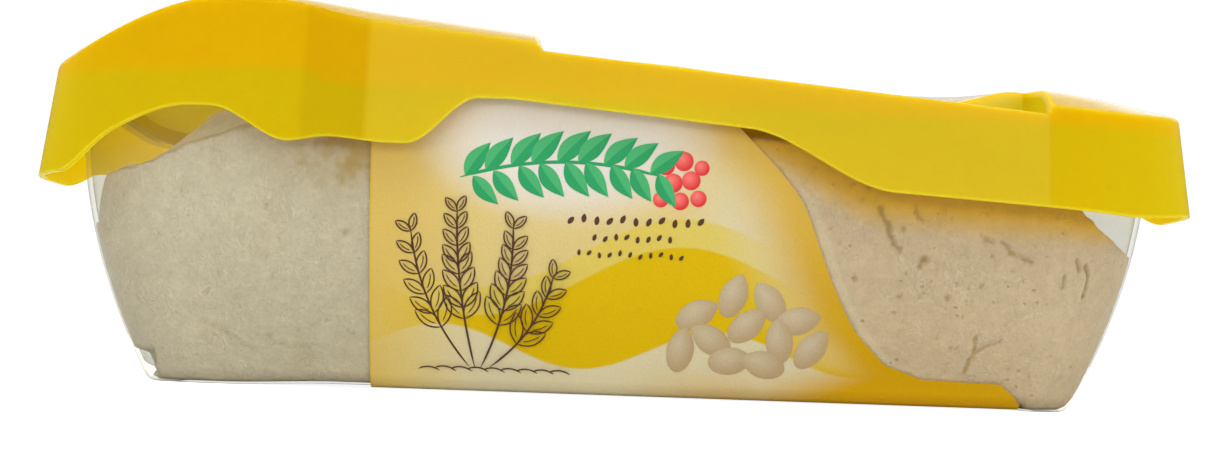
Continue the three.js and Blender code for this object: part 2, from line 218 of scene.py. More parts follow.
def plan(track, turned, r):
    """Point at distance r from the core rectangle, at a track coordinate of the half that is turned
    by +1 or -1: along the straight side, then round the corner arc, then along the end."""
    along = np.abs(track)
    angle = np.clip((along - CORE_X) / ARC_RADIUS, 0.0, math.pi / 2)
    past = np.maximum(along - CORE_X - ARC_LENGTH, 0.0)
    x = np.clip(track, -CORE_X, CORE_X) + np.sign(track) * r * np.sin(angle)
    y = -CORE_Y - r * np.cos(angle) + past
    return turned * x, turned * y


def stations(spans):
    """Track coordinates from spans (from, to, spacing), without the last end."""
    return np.concatenate([
        np.linspace(a, b, max(1, round((b - a) / step)), endpoint=False) for a, b, step in spans])


def columns(front, back=None):
    """Track and turn of each column, once round the plan."""
    front, back = stations(front), stations(back or front)
    return (np.concatenate([front, back]),
            np.concatenate([np.ones(len(front)), -np.ones(len(back))]))


def wall_radius(z):
    """The tub's wall is a parabola, upright at the rim: rim radius - curl * (depth) squared."""
    return RIM_RADIUS - WALL_CURL * (RIM_Z - z) ** 2


def rim_height(x, y):
    """The rim is twisted: rim level + twist * x * y."""
    return RIM_Z + RIM_TWIST * x * y


def foot_height(track):
    """The long sides of the foot stand clear of the ground, between two eased steps."""
    return FOOT_RELIEF * between(track, RELIEF_LEFT, RELIEF_RIGHT)


def foot_knee(foot):
    """Bend between foot and wall, as (distance, height), over a foot at a height."""
    return (mix(FOOT_OUTER_RADIUS, wall_radius(WALL_FOOT_Z), FOOT_KNEE[0]),
            mix(foot, WALL_FOOT_Z, FOOT_KNEE[1]))


def fill_height(x):
    """Height at which the halva leaves the wall: a wave along x."""
    return wave(x, FILL_END_Z, FILL_STEPS)


def skirt_radius(z):
    """The skirt flares downwards in a straight line."""
    return SKIRT_RADIUS - SKIRT_FLARE * (z - SKIRT_Z)


def skirt_height(track, turned):
    """Height of the skirt's lower edge: a wave along the track, plus an eased climb towards the back
    over both ends, which comes down again along the back's long side."""
    y = plan(track, turned, ARC_RADIUS)[1]
    along = np.where(turned < 0, smooth(np.abs(track), *END_RISE_TRACK), 1.0)
    return wave(track, SKIRT_END_Z, SKIRT_STEPS) + END_RISE * smooth(y, *END_RISE_Y) * along


def edge_height(track):
    """Height of the lid's upper edge: a wave along the track."""
    return wave(track, EDGE_END_Z, EDGE_STEPS)


def dome_height(x, y):
    """Straight blend across y between the front profile and the same profile turned."""
    return mix(wave(x, DOME_END_Z, DOME_STEPS), wave(-x, DOME_END_Z, DOME_STEPS),
               (y + DOME_Y) / (2 * DOME_Y))


def top_height(track, x, y, inset):
    """Lid's top: a rounded climb from the edge to the dome, flat inside the thumb recess."""
    edge = edge_height(track)
    raised = mix(edge, dome_height(x, y), climb(inset / DOME_EDGE))
    sunk = between(track, RECESS_LEFT, RECESS_RIGHT) * (1.0 - smooth(inset, *RECESS_WALL))
    return mix(raised, edge, sunk)


def lattice_noise(u, v, cell, seed):
    """Value noise from -1 to 1: random values on a square lattice, blended by eased shares."""
    table = np.random.default_rng(seed).uniform(-1.0, 1.0, (256, 256))
    i, j = np.floor(u / cell).astype(int), np.floor(v / cell).astype(int)
    s, t = smooth(u / cell - i, 0.0, 1.0), smooth(v / cell - j, 0.0, 1.0)
    at = lambda a, b: table[(i + a) % 256, (j + b) % 256]
    return mix(mix(at(0, 0), at(1, 0), s), mix(at(0, 1), at(1, 1), s), t)


def distance_to_line(u, v, points):
    """Least distance from each point to the segments of a line."""
    best = np.full(u.shape, 1e9)
    for (u0, v0), (u1, v1) in zip(points[:-1], points[1:]):
        du, dv = u1 - u0, v1 - v0
        share = np.clip(((u - u0) * du + (v - v0) * dv) / (du * du + dv * dv), 0.0, 1.0)
        best = np.minimum(best, np.hypot(u - u0 - share * du, v - v0 - share * dv))
    return best


# ---- Meshes -------------------------------------------------------------------------------------


def grid_faces(rows, count, closed):
    """Quads between neighbouring rows and columns of a grid, closed along the columns or not."""
    i = np.arange(rows - 1)[:, None] * count
    j = np.arange(count if closed else count - 1)[None, :]
    k = (j + 1) % count
    return np.stack([i + j, i + k, i + k + count, i + j + count], axis=-1).reshape(-1, 4)


def mesh_from(name, points, quads, triangles=None, attributes=None, sharp=None):
    """Mesh of the points, in millimetres, with float attributes on its points."""
    mesh = bpy.data.meshes.new(name)
    faces = quads.tolist() + ([] if triangles is None else triangles.tolist())
    mesh.from_pydata((points * MM).tolist(), [], faces)
    mesh.shade_smooth()
    if sharp:
        mesh.set_sharp_from_angle(angle=sharp)
    for key, values in (attributes or {}).items():
        attribute = mesh.attributes.new(key, "FLOAT", "POINT")
        attribute.data.foreach_set("value", values.astype(np.float32))
    mesh.validate()
    return mesh


def ring_mesh(name, rings, attributes=None, sharp=None):
    """Closed skin over rings [(x, y, z), ...] of equal count, with a fan at both ends."""
    grid = np.stack([np.stack(np.broadcast_arrays(*ring), axis=-1) for ring in rings])
    rows, count = grid.shape[:2]
    points = np.concatenate([grid.reshape(-1, 3), [grid[0].mean(axis=0), grid[-1].mean(axis=0)]])
    j = np.arange(count)
    k = (j + 1) % count
    first, last, base = rows * count, rows * count + 1, (rows - 1) * count
    caps = np.concatenate([
        np.stack([np.full(count, first), k, j], axis=-1),
        np.stack([np.full(count, last), base + j, base + k], axis=-1)])
    spread = {}
    for key, values in (attributes or {}).items():
        values = np.stack([np.broadcast_to(row, count) for row in values])
        spread[key] = np.concatenate([values.ravel(), [values[0].mean(), values[-1].mean()]])
    return mesh_from(name, points, grid_faces(rows, count, True), caps, spread, sharp)


def add_piece(name, mesh, material, node=None):
    """Object at the origin that rides on the pack and, where named, stands for a CAD node."""
    piece = bpy.data.objects.new(name, mesh)
    bpy.context.scene.collection.objects.link(piece)
    mesh.materials.append(material)
    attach(piece, "root")
    if node:
        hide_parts(node)


# ---- Materials ----------------------------------------------------------------------------------


SAND = (2300.0, 2.0, 0.6)  # the print's grain, as scale, detail and roughness
SAND_BUMP = (0.00012, 0.7)


class Value:
    """One number or colour of a node graph. Arithmetic on it adds Math nodes."""

    def __init__(self, finish, socket):
        self.finish, self.socket = finish, socket

    def ramp(self, start, end):
        """Eased share from 0 at start to 1 at end."""
        return self.finish.node("MapRange", {"interpolation_type": "SMOOTHSTEP", "clamp": True},
                                {0: self, 1: start, 2: end, 3: 0.0, 4: 1.0})


def math_method(operation, swapped=False):
    """Method that adds a Math node on a value and, where there is one, a second number."""
    def method(self, *other):
        numbers = (*other, self) if swapped else (self, *other)
        return self.finish.node("Math", {"operation": operation}, dict(enumerate(numbers)))
    return method


for key, operation in (("add", "ADD"), ("sub", "SUBTRACT"), ("mul", "MULTIPLY"),
                       ("truediv", "DIVIDE"), ("pow", "POWER")):
    setattr(Value, f"__{key}__", math_method(operation))
    setattr(Value, f"__r{key}__", math_method(operation, True))
for key, operation in (("sine", "SINE"), ("size", "ABSOLUTE"), ("least", "MINIMUM"),
                       ("most", "MAXIMUM")):
    setattr(Value, key, math_method(operation))


class Finish:
    """A material, or the world, in the making."""

    def __init__(self, name, kind="materials"):
        self.block = getattr(bpy.data, kind).new(name)
        self.block.use_nodes = True
        self.tree = self.block.node_tree
        self.tree.nodes.clear()

    def node(self, kind, settings=None, inputs=None, out=0):
        """Adds a node: its settings first, then its sockets' values or links; gives an output."""
        node = self.tree.nodes.new("ShaderNode" + kind)
        for key, value in (settings or {}).items():
            setattr(node, key, value)
        for key, value in (inputs or {}).items():
            if isinstance(value, Value):
                self.tree.links.new(value.socket, node.inputs[key])
            else:
                node.inputs[key].default_value = value
        return Value(self, node.outputs[out])

    def blend(self, share, a, b):
        """Colour a turned to colour b by a share."""
        a, b = (colour if isinstance(colour, Value) else rgba(colour) for colour in (a, b))
        return self.node("Mix", {"data_type": "RGBA"}, {0: share, 6: a, 7: b}, out=2)

    def tone(self, colour, amount):
        """Colour made lighter or darker by an amount around 1."""
        colour = colour if isinstance(colour, Value) else tuple(colour)[:3]
        grey = self.node("CombineXYZ", inputs={0: amount, 1: amount, 2: amount})
        return self.node("VectorMath", {"operation": "MULTIPLY"}, {0: colour, 1: grey})

    def place(self):
        """Place on the piece, in metres."""
        return self.node("TexCoord", out=3)

    def axis(self, vector, k):
        """One coordinate of a vector."""
        return self.node("SeparateXYZ", inputs={0: vector}, out=k)

    def attribute(self, name):
        """A float attribute of the piece's points."""
        return self.node("Attribute", {"attribute_name": name}, out=2)

    def noise(self, scale, detail=3.0, roughness=0.55, at=None, distortion=0.0):
        """Cloud noise, about 0.5, with so many features to a metre."""
        return self.node("TexNoise", inputs={
            "Vector": at or self.place(), "Scale": scale, "Detail": detail, "Roughness": roughness,
            "Distortion": distortion})

    def bump(self, height, distance, strength=1.0, normal=None):
        """Normal tilted by a height field, in metres of distance."""
        inputs = {"Strength": strength, "Distance": distance, "Height": height}
        if normal:
            inputs["Normal"] = normal
        return self.node("Bump", inputs=inputs)

    def principled(self, **inputs):
        """Principled shader, with underscores for the spaces in its sockets' names."""
        named = {key.replace("_", " "): value for key, value in inputs.items()}
        return self.node("BsdfPrincipled", inputs=named)

    def surface(self, shader, output="OutputMaterial"):
        """Sets the surface and gives the finished material or world."""
        end = self.tree.nodes.new("ShaderNode" + output)
        self.tree.links.new(shader.socket, end.inputs["Surface"])
        return self.block


def rgba(colour):
    """Colour of a property as four numbers."""
    return (*tuple(colour)[:3], 1.0)


def linear(red, green, blue):
    """Display colour of 0 to 255 as a linear colour."""
    share = np.array([red, green, blue]) / 255.0
    curve = np.where(share <= 0.04045, share / 12.92, ((share + 0.055) / 1.055) ** 2.4)
    return tuple(curve.tolist())


def lid_finish(settings):
    """Translucent yellow plastic, satin on the skirt and glossy on the top, with painted light in its
    colour:
    a backlit warmer tone above the tub's rim, a greener tone below it painted as shaded by the tub
    behind, a band painted darker where the front shows no sheen, a paler patch of painted sheen beside
    it, and a painted highlight along the lower edge and the upper corner. Emission paints a faint glow,
    as of light that comes through, on the inner faces, the underside and the recess's floor."""
    f = Finish("yellow_plastic")
    inside, under = f.attribute("inner_face"), f.attribute("underside")
    cloud = f.noise(35.0, 2.0)
    # Painted light: backlit tone above the rim's level, painted shade from the tub behind below it.
    backlit_share = (f.attribute("above_rim") + (cloud - 0.5) * 2.4).ramp(-1.6, 1.2)
    colour = f.blend(backlit_share, settings.colour_shaded_below_rim, settings.colour_backlit_above_rim)
    colour = f.blend(inside, colour, settings.colour_inside)
    colour = f.blend(under, colour, settings.colour_under)
    # Painted highlight along the skirt's lower edge and the upper corner.
    colour = f.blend(f.attribute("edge_highlight") * 0.38, colour, settings.colour_edge_highlight)
    # Painted sheen: paler where the flat front mirrors the light.
    colour = f.blend(f.attribute("sheen_panel") * 0.2, colour, settings.colour_sheen_panel)
    # Painted shade: the band where the front shows no sheen is darker.
    colour = f.tone(colour, 0.97 + cloud * 0.06 - f.attribute("shaded_band") * 0.09)
    back = f.axis(f.place(), 1).ramp(-0.03, 0.03)
    # Painted glow by emission on the inner faces and underside, as of light that comes through,
    # stronger behind.
    glow = f.tone(settings.colour_inside, under * 0.12 + inside * (0.17 + back * 0.20))
    peel = f.bump(f.noise(900.0, 2.0), 0.00002, 0.25)
    ripple = f.bump(f.noise(60.0, 1.0), 0.0003, 0.12, peel)
    return f.surface(f.principled(
        Base_Color=colour, Roughness=settings.roughness + (f.noise(240.0) - 0.5) * 0.06,
        Subsurface_Weight=1.0, Subsurface_Radius=(1.0, 0.86, 0.10), Subsurface_Scale=settings.scatter,
        IOR=1.49, Specular_IOR_Level=0.006, Specular_Tint=(1.0, 0.78, 0.2, 1.0), Normal=ripple,
        Emission_Color=glow, Emission_Strength=1.0,
        Coat_Weight=f.attribute("top_gloss"), Coat_Roughness=0.12, Coat_IOR=1.7))


def tub_finish(settings):
    """Clear plastic with a faint haze: mostly see-through, with gloss that grows at grazing angles,
    and dimmed where the paste has left a greasy smear."""
    f = Finish("clear_plastic")
    facing = f.node("LayerWeight", inputs={"Blend": 0.5}, out=1)
    haze = f.noise(180.0)
    clear = f.node("BsdfTransparent", inputs={"Color": rgba(settings.tint)})
    wall = f.principled(Base_Color=rgba(settings.haze_colour), Roughness=0.14, IOR=1.49)
    share = (settings.haze + (haze - 0.5) * 0.01 + facing ** 8.0 * 0.8
             + f.attribute("smear") * (0.06 + haze * 0.05)).least(1.0)
    return f.surface(f.node("MixShader", inputs={0: share, 1: clear, 2: wall}))


def halva_finish(settings):
    """Pressed sesame paste: a pale mealy face of crumbs and short pale threads, faintly mottled, with
    fine dark flecks and open pits. Greyer towards the left end, warmer towards the right, golden in
    the shade under the lid. Its top glows faintly with light that comes through the lid."""
    f = Finish("halva")
    place = f.place()
    along = f.axis(place, 0)
    crumb = f.noise(420.0, 4.0, 0.62)
    grain = f.noise(1500.0, 3.0, 0.7)
    lean = f.node("Mapping", inputs={
        "Vector": place, "Rotation": (0.3, 0.5, 0.2), "Scale": (1.0, 1.0, 0.45)})
    strand = (f.noise(620.0, 2.0, 0.5, lean, 1.6) - 0.5).size()
    threads = (1.0 - strand * 16.0).most(0.0) * f.noise(170.0, 2.0).ramp(0.46, 0.60)
    fleck = f.node("TexVoronoi", {"feature": "F1"}, {"Vector": place, "Scale": 560.0})
    spots = (1.0 - fleck.ramp(0.06, 0.24)) * f.noise(260.0, 2.0).ramp(0.48, 0.60)
    spots = spots * (0.3 + along.ramp(-0.01, 0.02) * 0.7)
    blush = (f.noise(110.0, at=lean) - 0.42).most(0.0) * 0.5
    colour = f.blend(along.ramp(-0.050, 0.030), settings.colour_left, settings.colour_right)
    colour = f.blend(blush, colour, settings.colour_blush)
    colour = f.tone(colour, 0.51 + f.noise(60.0, 5.0, 0.6) * 0.18 + crumb * 0.34 + grain * 0.38
                    + along.ramp(0.045, 0.085) * 0.025)
    colour = f.blend(threads * 0.44, colour, settings.colour_thread)
    colour = f.blend((spots * 0.30).least(1.0), colour, settings.colour_pit)
    stain = (f.attribute("stain") * (0.35 + crumb)).least(0.95)
    colour = f.blend(stain, colour, settings.colour_stain)
    colour = f.blend(f.attribute("margin") * 0.3, colour, settings.colour_thread)
    shade = f.tone(settings.colour_shade, 0.85 + crumb * 0.3)
    colour = f.blend(f.attribute("lid_shade") * 0.92, colour, shade)
    colour = f.blend((f.attribute("void") * 0.85).least(1.0), colour, settings.colour_pit)
    height = crumb * 0.9 + grain * 0.35 + threads * 0.25 - spots * 0.7
    glow = f.tone(settings.colour_thread, f.attribute("top") * (0.20 + crumb * 0.16))
    return f.surface(f.principled(
        Base_Color=colour, Roughness=0.60 + (grain - 0.5) * 0.2, IOR=1.45,
        Emission_Color=glow, Emission_Strength=1.0, Normal=f.bump(height, 0.0005, 0.7)))


def film_finish(settings):
    """Printed film with a sand-like grain: tan at both side edges and paler between them, a white
    glow at the top, a gold wave with a light crest in the middle, cream under it, and a deep gold
    foot that swells towards the right, its lowest part on the right made lighter by painted light.
    u and v are millimetres along and up the film."""
    f = Finish("printed_film")
    place = f.node("UVMap", {"uv_map": "FilmMap"})
    u, v = f.axis(place, 0) * FILM_SPAN, f.axis(place, 1) * FILM_SPAN
    from_left, from_right = u - SLEEVE_LEFT_X, f.attribute("from_right")
    cream, tan, deep = settings.colour_cream, settings.colour_tan, settings.colour_deep_gold
    under = lambda line: 1.0 - line.ramp(-0.25, 0.25)
    colour = f.blend(from_left.ramp(-0.7, 25.3), tan, settings.colour_pale)
    colour = f.blend(u.ramp(8.0, 24.0), colour, cream)
    colour = f.blend(1.0 - from_right.ramp(1.0, 15.0), colour, f.blend(v.ramp(4.0, 58.0), deep, tan))
    swell = v - ((u * 0.095 + 0.5).sine() * 5.4 + 19.5 + u * 0.04)
    ends = from_left.ramp(-0.7, 19.3) * from_right.ramp(4.0, 18.0)
    colour = f.blend(under(swell - 4.6) * 0.75 * ends, colour, settings.colour_wave)
    colour = f.blend(under(swell) * (0.10 + ends * 0.90), colour, settings.colour_gold)
    crest = v - ((u * 0.135 - 0.9).sine() * 3.4 + 8.2)
    colour = f.blend(under(crest) * from_left.ramp(-4.7, 21.3), colour, cream)
    foot = v - ((u * 0.09 + 1.1).sine() * 1.6 + 1.2 + (u - 26.0).most(0.0) * 0.42)
    colour = f.blend((1.0 - foot.ramp(-3.5, 5.0)) * u.ramp(-4.0, 30.0), colour, deep)
    glow_u, glow_v = (u + 8.0) / 26.0, (v - 43.0) / 15.0
    glow = 1.0 - (glow_u * glow_u + glow_v * glow_v).ramp(0.15, 1.15)
    colour = f.blend(glow, colour, settings.colour_glow)
    sand = f.noise(*SAND)
    # Painted light: the lowest part of the film is lighter towards the right.
    foot_light = (1.0 - v.ramp(0.0, 6.0)) * u.ramp(20.0, 48.0)
    colour = f.tone(colour, 0.925 + sand * 0.11 + f.noise(90.0, 2.0) * 0.04 + foot_light * 0.12)
    colour = f.blend((1.0 - from_left.ramp(0.0, 0.5)) * 0.5, colour, deep)
    return f.surface(f.principled(
        Base_Color=colour, Roughness=settings.roughness + (sand - 0.5) * 0.2, IOR=1.45,
        Specular_IOR_Level=0.15, Normal=f.bump(sand, *SAND_BUMP)))


def ink_finish(name, colour, light):
    """Print ink of one colour, turned to a second where the piece's shade attribute is high."""
    f = Finish(name)
    sand = f.noise(*SAND)
    tint = f.tone(f.blend(f.attribute("shade"), colour, light), 0.92 + sand * 0.16)
    return f.surface(f.principled(
        Base_Color=tint, Roughness=0.46, IOR=1.45, Normal=f.bump(sand, *SAND_BUMP)))


# ---- Settings -----------------------------------------------------------------------------------


def colour_property(name, description, red, green, blue):
    """Colour property whose default is given as a display colour of 0 to 255."""
    return bpy.props.FloatVectorProperty(
        name=name, description=description, subtype="COLOR", size=3, min=0.0, max=1.0,
        default=linear(red, green, blue))


def number_property(name, description, default, **kind):
    """Number property that is never negative."""
    return bpy.props.FloatProperty(name=name, description=description, default=default, min=0.0, **kind)


FACTOR = {"max": 1.0, "subtype": "FACTOR"}
LENGTH = {"unit": "LENGTH", "subtype": "DISTANCE"}
POWER = {"unit": "POWER"}


class HALVA_PG_lid(bpy.types.PropertyGroup):
    """Finish of the lid."""

    # Painted light: plastic above the rim takes a backlit tone, and below it a tone shaded by the tub
    # behind.
    colour_backlit_above_rim: colour_property("Above the rim", "Plastic with air behind it", 210, 165, 6)
    colour_shaded_below_rim: colour_property("Below the rim", "Plastic with the tub behind it", 197, 170, 10)
    colour_inside: colour_property("Inside", "Inner faces, lit through the plastic", 250, 206, 6)
    # Painted sheen on the flat front of the skirt.
    colour_sheen_panel: colour_property("Panel", "Paler tone between the recess's ends", 212, 194, 72)
    colour_under: colour_property("Underside", "Underside of the top, in the shade", 190, 176, 66)
    # Painted highlight along the lid's edges.
    colour_edge_highlight: colour_property("Thin edge", "Light caught in the lower edge", 240, 214, 60)
    roughness: number_property("Roughness", "Roughness of the plastic", 0.16, **FACTOR)
    scatter: number_property("Scatter", "How far light travels inside the plastic", 0.004,
                             max=0.02, **LENGTH)


class HALVA_PG_tub(bpy.types.PropertyGroup):
    """Finish of the tub."""

    tint: colour_property("Tint", "Colour of light that passes one face of the wall", 248, 248, 245)
    haze_colour: colour_property("Haze colour", "Colour of the plastic's own haze", 200, 203, 190)
    haze: number_property("Haze", "Share of the wall that hides what is behind it", 0.014, **FACTOR)


class HALVA_PG_block(bpy.types.PropertyGroup):
    """Finish and relief of the halva."""

    colour_left: colour_property("Left", "Greyer halva towards the left end", 200, 191, 166)
    colour_right: colour_property("Right", "Warmer halva towards the right end", 207, 187, 154)
    colour_blush: colour_property("Blush", "Faint warmer mottling", 208, 180, 142)
    colour_thread: colour_property("Threads", "Short pale threads in the paste", 226, 214, 186)
    colour_pit: colour_property("Pits", "Colour at the bottom of pits and cracks", 158, 130, 70)
    colour_stain: colour_property("Stain", "Golden brown stain beside the sleeve", 176, 148, 84)
    colour_shade: colour_property("Under the lid", "Halva in the yellow shade of the lid", 218, 172, 14)
    relief: number_property("Relief", "Depth of the deepest pits and cracks", 0.0006,
                            max=0.002, **LENGTH)


class HALVA_PG_sleeve(bpy.types.PropertyGroup):
    """Print and finish of the sleeve."""

    colour_cream: colour_property("Cream", "Pale lower and right-hand fields", 210, 200, 164)
    colour_pale: colour_property("Pale yellow", "Pale yellow middle field", 212, 191, 126)
    colour_tan: colour_property("Tan", "Tan towards the side edges", 210, 180, 92)
    colour_wave: colour_property("Light wave", "Light yellow crest over the gold wave", 212, 190, 70)
    colour_gold: colour_property("Gold", "Gold wave", 211, 176, 0)
    colour_deep_gold: colour_property("Deep gold", "Gold at the foot", 198, 153, 0)
    colour_glow: colour_property("Glow", "White glow at the top", 218, 213, 203)
    colour_leaf: colour_property("Leaves", "Green leaves", 23, 150, 88)
    colour_berry: colour_property("Berries", "Red berries", 214, 38, 44)
    colour_line: colour_property("Lines", "Brown line drawing", 78, 46, 26)
    colour_seed: colour_property("Seeds", "Cream seeds", 196, 182, 152)
    roughness: number_property("Roughness", "Roughness of the film", 0.46, **FACTOR)
    print_height: number_property("Print height", "Height of the print above the film", 0.00003,
                                  max=0.0002, **LENGTH)


class HALVA_PG_stage(bpy.types.PropertyGroup):
    """Light and camera."""

    front_power: number_property("Front light", "Power of the front light", 3.0, **POWER)
    key_power: number_property("Key light", "Power of the high front light", 16.0, **POWER)
    low_power: number_property("Low light", "Power of the wide low front light", 14.0, **POWER)
    side_power: number_property("Side light", "Power of the side and back lights", 0.9, **POWER)
    end_power: number_property("End light", "Power of the lights behind the lid's ends", 14.0, **POWER)
    ambient: number_property("Ambient", "Strength of the light from all round", 0.2)
    focal_length: number_property("Focal length", "Focal length of the camera", 54.147, unit="CAMERA")


class HALVA_PG_settings(bpy.types.PropertyGroup):
    """All settings of the pack."""

    lid: bpy.props.PointerProperty(type=HALVA_PG_lid, name="Lid", description="Finish of the lid")
    tub: bpy.props.PointerProperty(type=HALVA_PG_tub, name="Tub", description="Finish of the tub")
    block: bpy.props.PointerProperty(type=HALVA_PG_block, name="Halva", description="Its finish")
    sleeve: bpy.props.PointerProperty(type=HALVA_PG_sleeve, name="Sleeve", description="Print and film")
    stage: bpy.props.PointerProperty(type=HALVA_PG_stage, name="Stage", description="Light and camera")


# ---- Lid ----------------------------------------------------------------------------------------


def lid_mesh():
    """Rings from the middle of the underside, over the rib and down inside the skirt, round its
    lower edge, up outside, over the rounded top edge and across the dome to the middle."""
    track, turned = columns([
        (-TRACK_END, -118, 1.4), (-118, -15, 1.15), (-15, -11, 0.2), (-11, 69, 1.25),
        (69, 72, 0.15), (72, 118, 1.15), (118, TRACK_END, 1.4)])
    edge, lower = edge_height(track), skirt_height(track, turned)
    edge_r = skirt_radius(edge)
    # Painted shade: band on the front where no sheen falls.
    band = between(track, *SHADED_BAND) * (turned > 0)
    # Painted sheen on the flat front, between the recess's ends.
    sheen_panel = between(track, *SHEEN_PANEL)
    # Brings the painted backlit tone's edge down under the rim at the left arch.
    dip = BACKLIT_DIP * between(track, *BACKLIT_DIP_TRACK) * (turned > 0)
    names = ("above_rim", "edge_highlight", "top_gloss", "shaded_band", "inner_face", "underside", "sheen_panel")
    rings, marks = [], {name: [] for name in names}

    def keep(x, y, z, highlight=0.0, inner=0.0, gloss=0.0, under=0.0):
        rings.append((x, y, z))
        skirt = 1.0 - np.maximum(np.maximum(inner, gloss), under)
        for kept, value in zip(marks.values(), (
                z - rim_height(x, y) - dip, highlight, gloss, band * skirt, inner, under, sheen_panel * skirt)):
            kept.append(value + 0.0 * track)

    def add(r, z, highlight=0.0, inner=0.0, gloss=0.0, under=0.0):
        x, y = plan(track, turned, r)
        keep(x, y, z(x, y) if callable(z) else z + 0.0 * track, highlight, inner, gloss, under)

    def top(inset, drop=0.0):
        # The recess's floor takes the inner faces' colour and their painted glow.
        sunk = between(track, RECESS_LEFT, RECESS_SHEEN) * (inset < RECESS_WALL[1])
        shown = float(drop == 0)
        add(edge_r - inset, lambda x, y: top_height(track, x, y, inset) - drop,
            inner=shown * 0.35 * sunk, gloss=shown * (1.0 - 0.85 * sunk), under=1.0 - shown)

    outer_x, outer_y = plan(track, turned, edge_r - RECESS_WALL[1] - 1.0)

    def plateau(share, drop=0.0):
        x, y = outer_x * share, outer_y * share
        shown = float(drop == 0)
        keep(x, y, dome_height(x, y) - drop, gloss=shown, under=1.0 - shown)

    shares = np.linspace(0.06, 0.96, 13)
    for share in shares:
        plateau(share, LID_WALL)
    for inset in (*np.linspace(RECESS_WALL[1], RECESS_WALL[0], 6), 16.0, 12.5, DOME_EDGE):
        top(inset, LID_WALL)
    seat = lambda x, y: rim_height(x, y) + RIB_GAP
    rib_top = lambda r: lambda x, y: np.maximum(
        seat(x, y) + RIB_LEAST, top_height(track, x, y, edge_r - r) - LID_WALL)
    for share in (0.3, 0.6, 0.85, 1.0):
        r = mix(edge_r - DOME_EDGE, RIB_RADII[1], share)
        add(r, rib_top(r), under=1.0)
    for r, z in ((RIB_RADII[1], seat), (RIB_RADII[0], seat), (RIB_RADII[0], rib_top(RIB_RADII[0]))):
        add(r, z, under=1.0)
    for share in np.linspace(0.0, 1.0, 9):
        z = mix(edge - LID_EDGE_DEPTH, lower + LID_BEAD, share)
        add(skirt_radius(z) - LID_WALL, z, inner=1.0)
    rim_r = skirt_radius(lower)
    # Painted highlight along the rounded lower edge, inside and out.
    for angle in np.radians([202.0, 225.0, 248.0, 270.0]):
        add(rim_r - LID_WALL + LID_BEAD * (1.0 + math.cos(angle)),
            lower + LID_BEAD * (1.0 + math.sin(angle)), 0.7, 1.0)
    for angle in np.radians([270.0, 292.0, 315.0, 338.0, 360.0]):
        add(rim_r - LID_BEAD * (1.0 - math.cos(angle)), lower + LID_BEAD * (1.0 + math.sin(angle)), 1.0)
    for rise, glow in ((0.3, 0.5), (0.48, 0.0)):
        add(skirt_radius(lower + rise), lower + rise, glow)
    for share in np.linspace(0.08, 1.0, 20):
        z = mix(lower + LID_BEAD, edge - LID_EDGE_BEVEL, share)
        add(skirt_radius(z), z)
    low = edge - LID_EDGE_BEVEL
    # Painted highlight along the upper corner, stronger towards the right.
    corner = CORNER_HIGHLIGHT * smooth(track, *CORNER_HIGHLIGHT_TRACK)
    for s in np.linspace(0.15, 0.85, 6):
        add(bow(skirt_radius(low), edge_r, edge_r - LID_EDGE_BEVEL, s),
            lambda x, y: bow(low, edge, top_height(track, x, y, LID_EDGE_BEVEL), s),
            corner * smooth(s, 0.3, 0.8))
    for inset in (*np.linspace(LID_EDGE_BEVEL, DOME_EDGE, 15), 11.0, 14.0, 17.0,
                  *np.linspace(*RECESS_WALL, 11), 22.5):
        top(inset)
    for share in shares[::-1]:
        plateau(share)
    return ring_mesh("lid_shell", rings, marks, math.radians(38))


class HALVA_OT_lid(bpy.types.Operator):
    """Make the waved lid"""

    bl_idname = "halva.lid"
    bl_label = "Lid"

    def execute(self, context):
        settings = context.scene.halva_tub.lid
        add_piece("lid_shell", lid_mesh(), lid_finish(settings), "lid")
        return {"FINISHED"}


# ---- Tub ----------------------------------------------------------------------------------------


